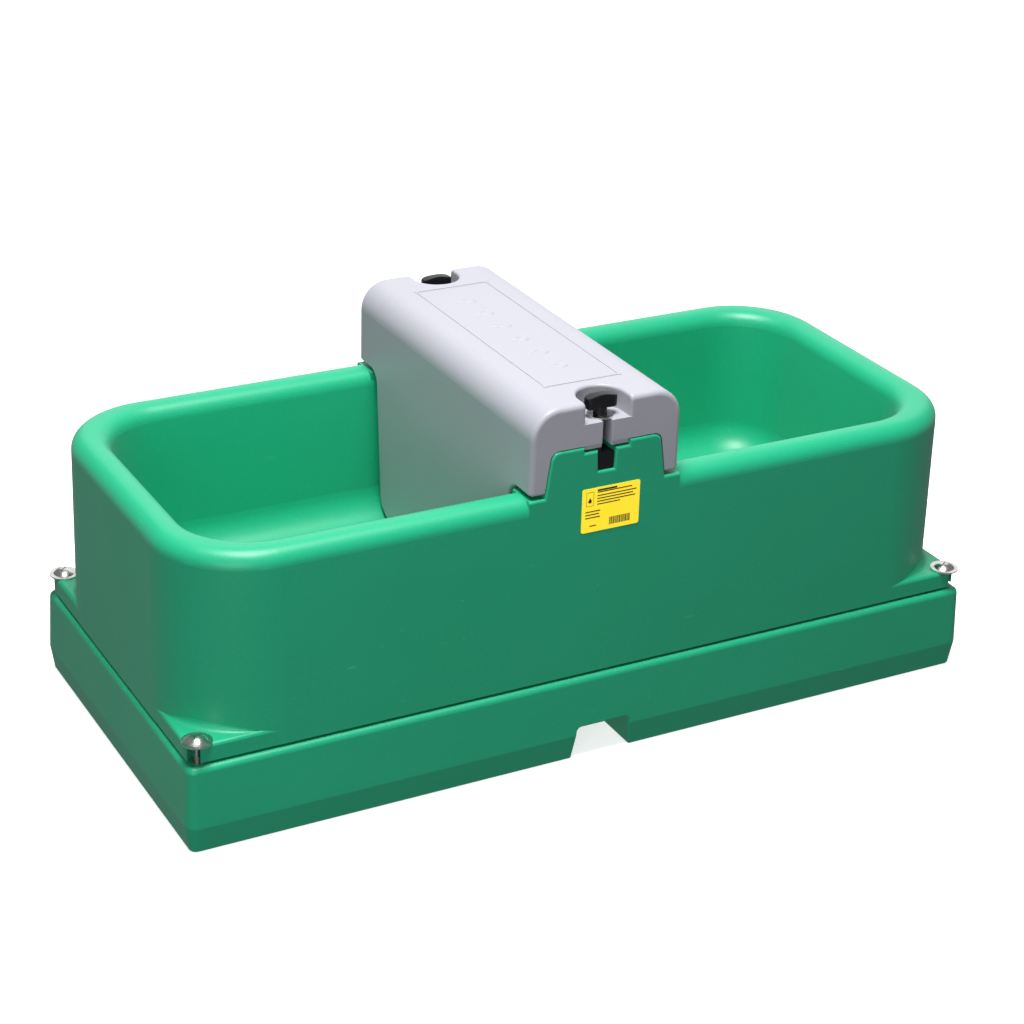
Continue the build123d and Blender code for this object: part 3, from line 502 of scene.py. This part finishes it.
def bevel_edges(bm: bmesh.types.BMesh, edges: Iterable[Any], width: float, segments: int) -> None:
    """Rounds edges of a bmesh.

    Args:
        bm: The geometry.
        edges: Which edges.
        width: The rounding's width in metres.
        segments: Its steps.
    """
    bmesh.ops.bevel(bm, geom=list(edges), offset=width, segments=segments, profile=0.5,
                    affect="EDGES", material=-1, clamp_overlap=True)


# Clamp knob


@dataclass
class ClampKnob:
    """Black two-winged knob with a crowned grip and a round hub."""

    end: str
    length: float = 44.6 * MM
    width: float = 18.6 * MM
    waist: float = 0.80
    crown: float = 2.6 * MM
    wing_height: float = 18.6 * MM
    hub_radius: float = 9.4 * MM
    hub_height: float = 10.0 * MM

    def wings(self, bm: bmesh.types.BMesh, centre: Vector, top: float) -> None:
        """Adds the grip.

        Args:
            bm: The geometry to add to.
            centre: The knob's axis.
            top: The grip's highest point.
        """
        made = bmesh.ops.create_cube(bm, size=1.0)
        size = Matrix.Diagonal((self.length, self.width, self.wing_height, 1.0))
        bmesh.ops.transform(bm, matrix=size, verts=made["verts"])
        edges = {edge for vert in made["verts"] for edge in vert.link_edges}
        bmesh.ops.subdivide_edges(bm, edges=list(edges), cuts=7, use_grid_fill=True)
        half = self.length / 2
        for vert in bm.verts:
            reach = abs(vert.co.x) / half
            round_end = math.sqrt(max(0.0, 1.0 - max(0.0, reach - 0.62) ** 2 / 0.38**2 * 0.78))
            pinch = self.waist + (1.0 - self.waist) * min(1.0, reach * 1.6) ** 2
            vert.co.y *= pinch * round_end
            if vert.co.z > 0.0:
                vert.co.z -= self.crown * reach**2 * 1.4 * (vert.co.z / (self.wing_height / 2))
                vert.co.y *= 1.0 - 0.16 * (vert.co.z / (self.wing_height / 2))
        shift = Vector((centre.x, centre.y, top - self.wing_height / 2))
        bmesh.ops.translate(bm, vec=shift, verts=bm.verts)

    def hub(self, bm: bmesh.types.BMesh, centre: Vector, low: float, high: float) -> None:
        """Adds the hub.

        Args:
            bm: The geometry to add to.
            centre: The knob's axis.
            low: The hub's lower end.
            high: Its upper end, inside the grip.
        """
        place = Matrix.Translation((centre.x, centre.y, (low + high) / 2))
        made = bmesh.ops.create_cone(bm, cap_ends=True, segments=48, radius1=self.hub_radius,
                                     radius2=self.hub_radius * 0.94, depth=high - low, matrix=place)
        sides = {edge for vert in made["verts"] for edge in vert.link_edges}
        rims = {edge for edge in sides if abs(edge.verts[0].co.z - edge.verts[1].co.z) < MM / 10}
        bevel_edges(bm, rims, 0.6 * MM, 3)

    def build(self, palette: Palette) -> None:
        """Builds the knob in place of its plain node."""
        node = f"{self.end}_knob"
        low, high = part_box(node)
        bm = bmesh.new()
        self.wings(bm, middle(node), high.z)
        self.hub(bm, middle(node), low.z, low.z + self.hub_height)
        piece = new_piece(f"{self.end}_knob_grip", bm, palette.get(BLACK), f"{self.end}_clamp")
        modifier = piece.modifiers.new("soft_edges", "SUBSURF")
        modifier.levels = modifier.render_levels = 1
        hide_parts(node)


# Rating label


@dataclass
class LabelPrint:
    """Generic print on the rating label: a drop in a frame, plain text bars and a striped block."""

    proud: float = 0.06 * MM
    bar_height: float = 1.5 * MM
    mark: float = 2.6 * MM
    stripes: int = 22
    tilt: float = math.radians(0.75)
    bars: list[tuple[float, float, float]] = field(default_factory=lambda: [
        (0.26, 0.88, 0.60), (0.26, 0.80, 0.68), (0.26, 0.735, 0.62), (0.26, 0.67, 0.66),
        (0.26, 0.605, 0.40),
        (0.06, 0.46, 0.26), (0.06, 0.39, 0.24), (0.06, 0.32, 0.26), (0.14, 0.13, 0.12)])

    def rectangle(self, bm: bmesh.types.BMesh, left: float, low: float, width: float, height: float) -> None:
        """Adds one printed rectangle.

        Args:
            bm: The geometry to add to.
            left: Its left edge on the label.
            low: Its lower edge.
            width: Its width.
            height: Its height.
        """
        place = Matrix.Translation((left + width / 2, low + height / 2, 0.0))
        bmesh.ops.create_cube(bm, size=1.0, matrix=place @ Matrix.Diagonal((width, height, self.proud, 1)))

    def drop(self, bm: bmesh.types.BMesh, x: float, y: float, radius: float) -> None:
        """Adds a printed water drop.

        Args:
            bm: The geometry to add to.
            x: Its middle on the label.
            y: Its middle.
            radius: The radius of its round part.
        """
        made = bmesh.ops.create_cone(bm, cap_ends=True, segments=28, radius1=radius, radius2=radius,
                                     depth=self.proud, matrix=Matrix.Translation((x, y, 0.0)))
        for vert in made["verts"]:
            rise = (vert.co.y - y) / radius
            if rise > 0:
                vert.co.x = x + (vert.co.x - x) * (1 - 0.9 * rise**1.5)
                vert.co.y = y + radius * rise * 1.9

    def build(self, palette: Palette) -> None:
        """Builds the print just proud of the label's face."""
        low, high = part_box("rating_label")
        width, height = high.x - low.x, high.z - low.z
        bm = bmesh.new()
        for left, base, length in self.bars:
            self.rectangle(bm, left * width, base * height, length * width, self.bar_height)
        self.rectangle(bm, 0.26 * width, 0.93 * height - MM, 0.34 * width, self.mark)
        self.frame(bm, 0.07 * width, 0.60 * height, 0.13 * width, 0.32 * height)
        self.drop(bm, 0.135 * width, 0.71 * height, self.mark)
        left = 0.48 * width
        for index in range(self.stripes):
            thick = (0.45 + 0.45 * ((index * 7) % 3)) * MM
            self.rectangle(bm, left, 0.10 * height, thick, 0.17 * height)
            left += thick + (0.4 + 0.35 * ((index * 5) % 2)) * MM
        middle = Matrix.Translation((low.x, low.y, (low.z + high.z) / 2))
        face = middle @ Matrix.Rotation(math.pi / 2 - self.tilt, 4, "X")
        lift = Matrix.Translation((0, -height / 2, self.lift(height)))
        bmesh.ops.transform(bm, matrix=face @ lift, verts=bm.verts)
        new_piece("label_print", bm, palette.get(INK), "trough")

    def lift(self, height: float) -> float:
        """How far the print lies in front of the box's lowest corner, along the label's normal."""
        return self.proud - height / 2 * math.sin(self.tilt)

    def frame(self, bm: bmesh.types.BMesh, left: float, low: float, width: float, height: float) -> None:
        """Adds a thin printed frame.

        Args:
            bm: The geometry to add to.
            left: Its left edge.
            low: Its lower edge.
            width: Its width.
            height: Its height.
        """
        line = 0.5 * MM
        self.rectangle(bm, left, low, width, line)
        self.rectangle(bm, left, low + height - line, width, line)
        self.rectangle(bm, left, low + line, line, height - 2 * line)
        self.rectangle(bm, left + width - line, low + line, line, height - 2 * line)


# Relief on the cover


@dataclass
class CoverRelief:
    """Row of raised water drops along the cover's top, with a small boss at each corner of the ridge."""

    drops: int = 6
    pitch: float = 52.0 * MM
    radius: float = 9.5 * MM
    height: float = 1.04 * MM
    flank: float = 0.16
    hollow: float = 0.48
    sunk: float = 0.06
    ridge_length: float = 378.0 * MM
    ridge_span: float = 112.0 * MM
    ridge_height: float = 0.8 * MM
    dot_radius: float = 3.2 * MM

    @staticmethod
    def ease(share: float) -> float:
        """Smooth step from 0 to 1."""
        share = min(1.0, max(0.0, share))
        return share * share * (3 - 2 * share)

    def dome(self, bm: bmesh.types.BMesh, x: float, y: float, z: float, radius: float, tail: float) -> None:
        """Adds a low round dot, or the raised outline of a drop with its tail on one side.

        Args:
            bm: The geometry to add to.
            x: Its middle.
            y: Its middle.
            z: The face that it stands on.
            radius: Its radius.
            tail: How much longer its pointed side is, 1 for a round dome.
        """
        made = bmesh.ops.create_uvsphere(bm, u_segments=40, v_segments=40, radius=radius)
        for vert in made["verts"]:
            share = min(1.0, vert.co.xy.length / radius)
            outer = self.ease((1.0 - share) / self.flank)
            inner = self.ease((share - self.hollow) / self.flank) if tail > 1 else 1.0
            vert.co.z = math.copysign(outer * inner - self.sunk, vert.co.z) * radius
            rise = -vert.co.x / radius
            if rise > 0 and tail > 1:
                vert.co.y *= 1 - 0.85 * rise**1.4
                vert.co.x = -radius * rise * tail
            vert.co.z *= self.height / radius
        bmesh.ops.translate(bm, vec=(x, y, z), verts=made["verts"])

    def build(self, palette: Palette) -> None:
        """Builds the relief on the cover's top face."""
        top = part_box("cover")[1].z - self.ridge_height
        across = middle("cover").x
        bm = bmesh.new()
        for index in range(self.drops):
            self.dome(bm, across, (index - (self.drops - 1) / 2) * self.pitch, top, self.radius, 2.1)
        for side in (-1, 1):
            for end in (-1, 1):
                x, y = across + side * (self.ridge_span / 2 - MM), end * (self.ridge_length / 2 - MM)
                self.dome(bm, x, y, top, self.dot_radius, 1.0)
        new_piece("cover_relief", bm, palette.get(GREY), "cover")


# Blend at the trough's foot


@dataclass
class CornerCove:
    """Hollow blend between the trough's wall and the land at each corner, running out along both sides."""

    foot_length: float = 1174.0 * MM
    foot_width: float = 528.0 * MM
    wall_corner: float = 128.0 * MM
    land_top: float = 150.0 * MM
    foot_edge: float = 5.5 * MM
    draft: float = math.radians(0.75)
    largest: float = 10.0 * MM
    spread: float = 12.0 * MM
    sunk: float = 0.8 * MM
    first_angle: float = 17.6
    steps: int = 48
    arc_steps: int = 10

    def profile(self, angle: float) -> list[tuple[float, float]]:
        """Outline of the blend in a plane through the corner's axis.

        Args:
            angle: Where on the corner's quarter turn, in radians.

        Returns:
            Radius and height of each point, from the wall's upper edge round to the hidden back corner.
        """
        foot = self.wall_corner / max(math.cos(angle), math.sin(angle))
        spare = foot - self.wall_corner - self.foot_edge
        radius = self.largest * (1 - math.exp(-max(spare, 0.0) / self.spread)) + 0.05 * MM
        lean = math.tan(self.draft)
        points = []
        for index in range(self.arc_steps + 1):
            turn = math.pi / 2 * index / self.arc_steps
            out, rise = radius * (1 - math.cos(turn)), radius * (1 - math.sin(turn))
            points.append((self.wall_corner + out - rise * lean, self.land_top + rise))
        points.append((self.wall_corner + radius, self.land_top - self.sunk))
        points.append((self.wall_corner - self.sunk, self.land_top - self.sunk))
        points.append((self.wall_corner - self.sunk - radius * lean, self.land_top + radius))
        return points

    def corner(self, bm: bmesh.types.BMesh, side_x: int, side_y: int) -> None:
        """Adds one corner's blend.

        Args:
            bm: The geometry to add to.
            side_x: Which end, -1 or 1.
            side_y: Which side, -1 or 1.
        """
        centre_x = side_x * (self.foot_length / 2 - self.wall_corner)
        centre_y = side_y * (self.foot_width / 2 - self.wall_corner)
        rings = []
        for step in range(self.steps + 1):
            angle = math.radians(self.first_angle + (90.0 - 2 * self.first_angle) * step / self.steps)
            loop = []
            for radius, height in self.profile(angle):
                x = centre_x + side_x * radius * math.cos(angle)
                y = centre_y + side_y * radius * math.sin(angle)
                loop.append(bm.verts.new((x, y, height)))
            rings.append([bm.edges.new((a, b)) for a, b in zip(loop, loop[1:] + loop[:1])])
        for first, second in zip(rings, rings[1:]):
            bmesh.ops.bridge_loops(bm, edges=first + second)
        for end in (rings[0], rings[-1]):
            bmesh.ops.contextual_create(bm, geom=end)

    def build(self, palette: Palette) -> None:
        """Builds the four blends as one piece."""
        bm = bmesh.new()
        for side_x in (-1, 1):
            for side_y in (-1, 1):
                self.corner(bm, side_x, side_y)
        new_piece("corner_coves", bm, palette.get(GREEN), "trough")


# Parting line of the tray


@dataclass
class PartingLine:
    """Thin, slightly uneven bead that the mould's joint leaves around the tray's foot band."""

    height: float = 33.0 * MM
    length: float = 1186.6 * MM
    width: float = 544.6 * MM
    corner: float = 14.0 * MM
    thickness: float = 0.85 * MM
    sunk: float = 0.15 * MM
    notch: float = 42.0 * MM
    pitch: float = 6.0 * MM
    wander: float = 0.35 * MM

    def bead(self, bm: bmesh.types.BMesh, route: Sequence[Vector]) -> None:
        """Adds the bead along one open route.

        Args:
            bm: The geometry to add to.
            route: Points on the tray's surface, in order.
        """
        rings = []
        for index, point in enumerate(route):
            ahead = route[min(index + 1, len(route) - 1)] - route[max(index - 1, 0)]
            turn = ahead.normalized().to_track_quat("Z", "Y")
            place = point.copy()
            place.z += self.wander * math.sin(index * 0.37) * math.sin(index * 0.113 + 1.0)
            size = self.thickness * (0.86 + 0.14 * math.sin(index * 0.9) * math.sin(index * 0.21))
            matrix = Matrix.Translation(place) @ turn.to_matrix().to_4x4()
            made = bmesh.ops.create_circle(bm, segments=8, radius=size, matrix=matrix)
            rings.append({edge for vert in made["verts"] for edge in vert.link_edges})
        for first, second in zip(rings, rings[1:]):
            bmesh.ops.bridge_loops(bm, edges=list(first | second))
        for end in (rings[0], rings[-1]):
            bmesh.ops.contextual_create(bm, geom=list(end))

    def route(self, side: int) -> list[Vector]:
        """Points from one side of the near notch round one end to the far notch.

        Args:
            side: Which end, -1 or 1.

        Returns:
            The points.
        """
        half_x, half_y = self.length / 2 - self.sunk, self.width / 2 - self.sunk
        inner_x, inner_y = half_x - self.corner, half_y - self.corner
        straight = int((inner_x - self.notch) / self.pitch)
        points = [(self.notch + (inner_x - self.notch) * i / straight, -half_y) for i in range(straight)]
        turns = [math.pi / 2 * i / 6 for i in range(7)]
        points += [(inner_x + self.corner * math.sin(t), -inner_y - self.corner * math.cos(t)) for t in turns]
        across = int(2 * inner_y / self.pitch)
        points += [(half_x, -inner_y + 2 * inner_y * i / across) for i in range(1, across)]
        points += [(x, -y) for x, y in reversed(points[:straight + 7])]
        return [Vector((side * x, y, self.height)) for x, y in points]

    def build(self, palette: Palette) -> None:
        """Builds the bead on both halves of the tray."""
        bm = bmesh.new()
        for side in (-1, 1):
            self.bead(bm, self.route(side))
        new_piece("tray_parting_line", bm, palette.get(GREEN), "trough")


# Carried-over nodes


@dataclass
class FrameNodes:
    """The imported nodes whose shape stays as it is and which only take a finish."""

    def dress(self, palette: Palette) -> None:
        """Gives every node the finish of its slot."""
        slots = {part["node"]: part["material_slot"] for part in frame["record"]["subparts"]}
        for name, node in frame["nodes"].items():
            node.data.materials.clear()
            node.data.materials.append(palette.get(SLOT_FINISH[slots[name]].value))
            LOG.info("%s dressed as %s", name, slots[name])


# Studio


@dataclass
class Studio:
    """Pale floor, soft lights and the camera."""

    sky: float = 0.25
    floor_glow: float = 0.72
    azimuth: float = 28.85
    elevation: float = 25.48
    roll: float = 1.96
    distance: float = 3.46174
    target: tuple[float, float, float] = (-0.00062, 0.0, 0.24266)
    lens: float = 86.97
    floor_size: float = 60.0

    def camera(self) -> None:
        """Places the camera."""
        turn, lift = math.radians(self.azimuth), math.radians(self.elevation)
        forward = Vector((math.sin(turn) * math.cos(lift), math.cos(turn) * math.cos(lift), -math.sin(lift)))
        data = bpy.data.cameras.new("camera")
        data.lens = self.lens
        data.sensor_width = 36.0
        data.clip_end = 200.0
        camera = bpy.data.objects.new("camera", data)
        bpy.context.scene.collection.objects.link(camera)
        camera.location = Vector(self.target) - forward * self.distance
        camera.rotation_mode = "QUATERNION"
        level = forward.to_track_quat("-Z", "Y")
        camera.rotation_quaternion = level @ Quaternion((0, 0, 1), math.radians(self.roll))
        bpy.context.scene.camera = camera

    def light(self, name: str, place: Sequence[float], size: float, power: float,
              colour: Colour) -> bpy.types.Object:
        """Adds a square soft light aimed at the trough.

        Args:
            name: The light's name.
            place: Where it hangs.
            size: Its side in metres.
            power: Its power in watts.
            colour: Its colour.

        Returns:
            The lamp.
        """
        data = bpy.data.lights.new(name, "AREA")
        data.size = size
        data.energy = power
        data.color = colour
        lamp = bpy.data.objects.new(name, data)
        bpy.context.scene.collection.objects.link(lamp)
        lamp.location = place
        lamp.rotation_mode = "QUATERNION"
        lamp.rotation_quaternion = (Vector(self.target) - Vector(place)).to_track_quat("-Z", "Y")
        return lamp

    def floor(self) -> None:
        """Lays the floor."""
        bm = bmesh.new()
        bmesh.ops.create_grid(bm, x_segments=1, y_segments=1, size=self.floor_size / 2)
        mesh = bpy.data.meshes.new("floor")
        bm.to_mesh(mesh)
        bm.free()
        floor = bpy.data.objects.new("floor", mesh)
        bpy.context.scene.collection.objects.link(floor)
        g = Graph("studio_floor")
        mesh.materials.append(g.surface({"Base Color": (0.86, 0.86, 0.86), "Roughness": 0.9,
                                         "Emission Color": (1.0, 1.0, 1.0),
                                         "Emission Strength": self.floor_glow}))
        floor.location.z = -0.2 * MM
        floor.visible_diffuse = floor.visible_glossy = False

    def build(self) -> None:
        """Sets up the whole studio."""
        scene = bpy.context.scene
        scene.view_settings.view_transform = "Standard"
        world = bpy.data.worlds.new("studio")
        world.use_nodes = True
        background = world.node_tree.nodes["Background"]
        background.inputs["Color"].default_value = (0.92, 0.95, 1.0, 1.0)
        background.inputs["Strength"].default_value = self.sky
        scene.world = world
        self.light("overhead", (-0.45, -0.5, 3.9), 1.4, 222.0, (1.0, 1.0, 1.0))
        self.light("side_fill", (-1.85, -2.2, 0.9), 1.2, 18.0, (1.0, 1.0, 1.0))
        backdrop = self.light("backdrop", (1.75, 3.15, 1.9), 5.0, 78.0, (1.0, 1.0, 1.0))
        backdrop.visible_diffuse = False
        self.camera()
        self.floor()


def main() -> None:
    """Builds the looks in order."""
    logging.basicConfig(level=logging.INFO, format="%(message)s")
    palette = Palette()
    FrameNodes().dress(palette)
    for end in ("near", "far"):
        ClampKnob(end).build(palette)
    LabelPrint().build(palette)
    CoverRelief().build(palette)
    CornerCove().build(palette)
    PartingLine().build(palette)
    Studio().build()


if __name__ == "__main__":
    main()
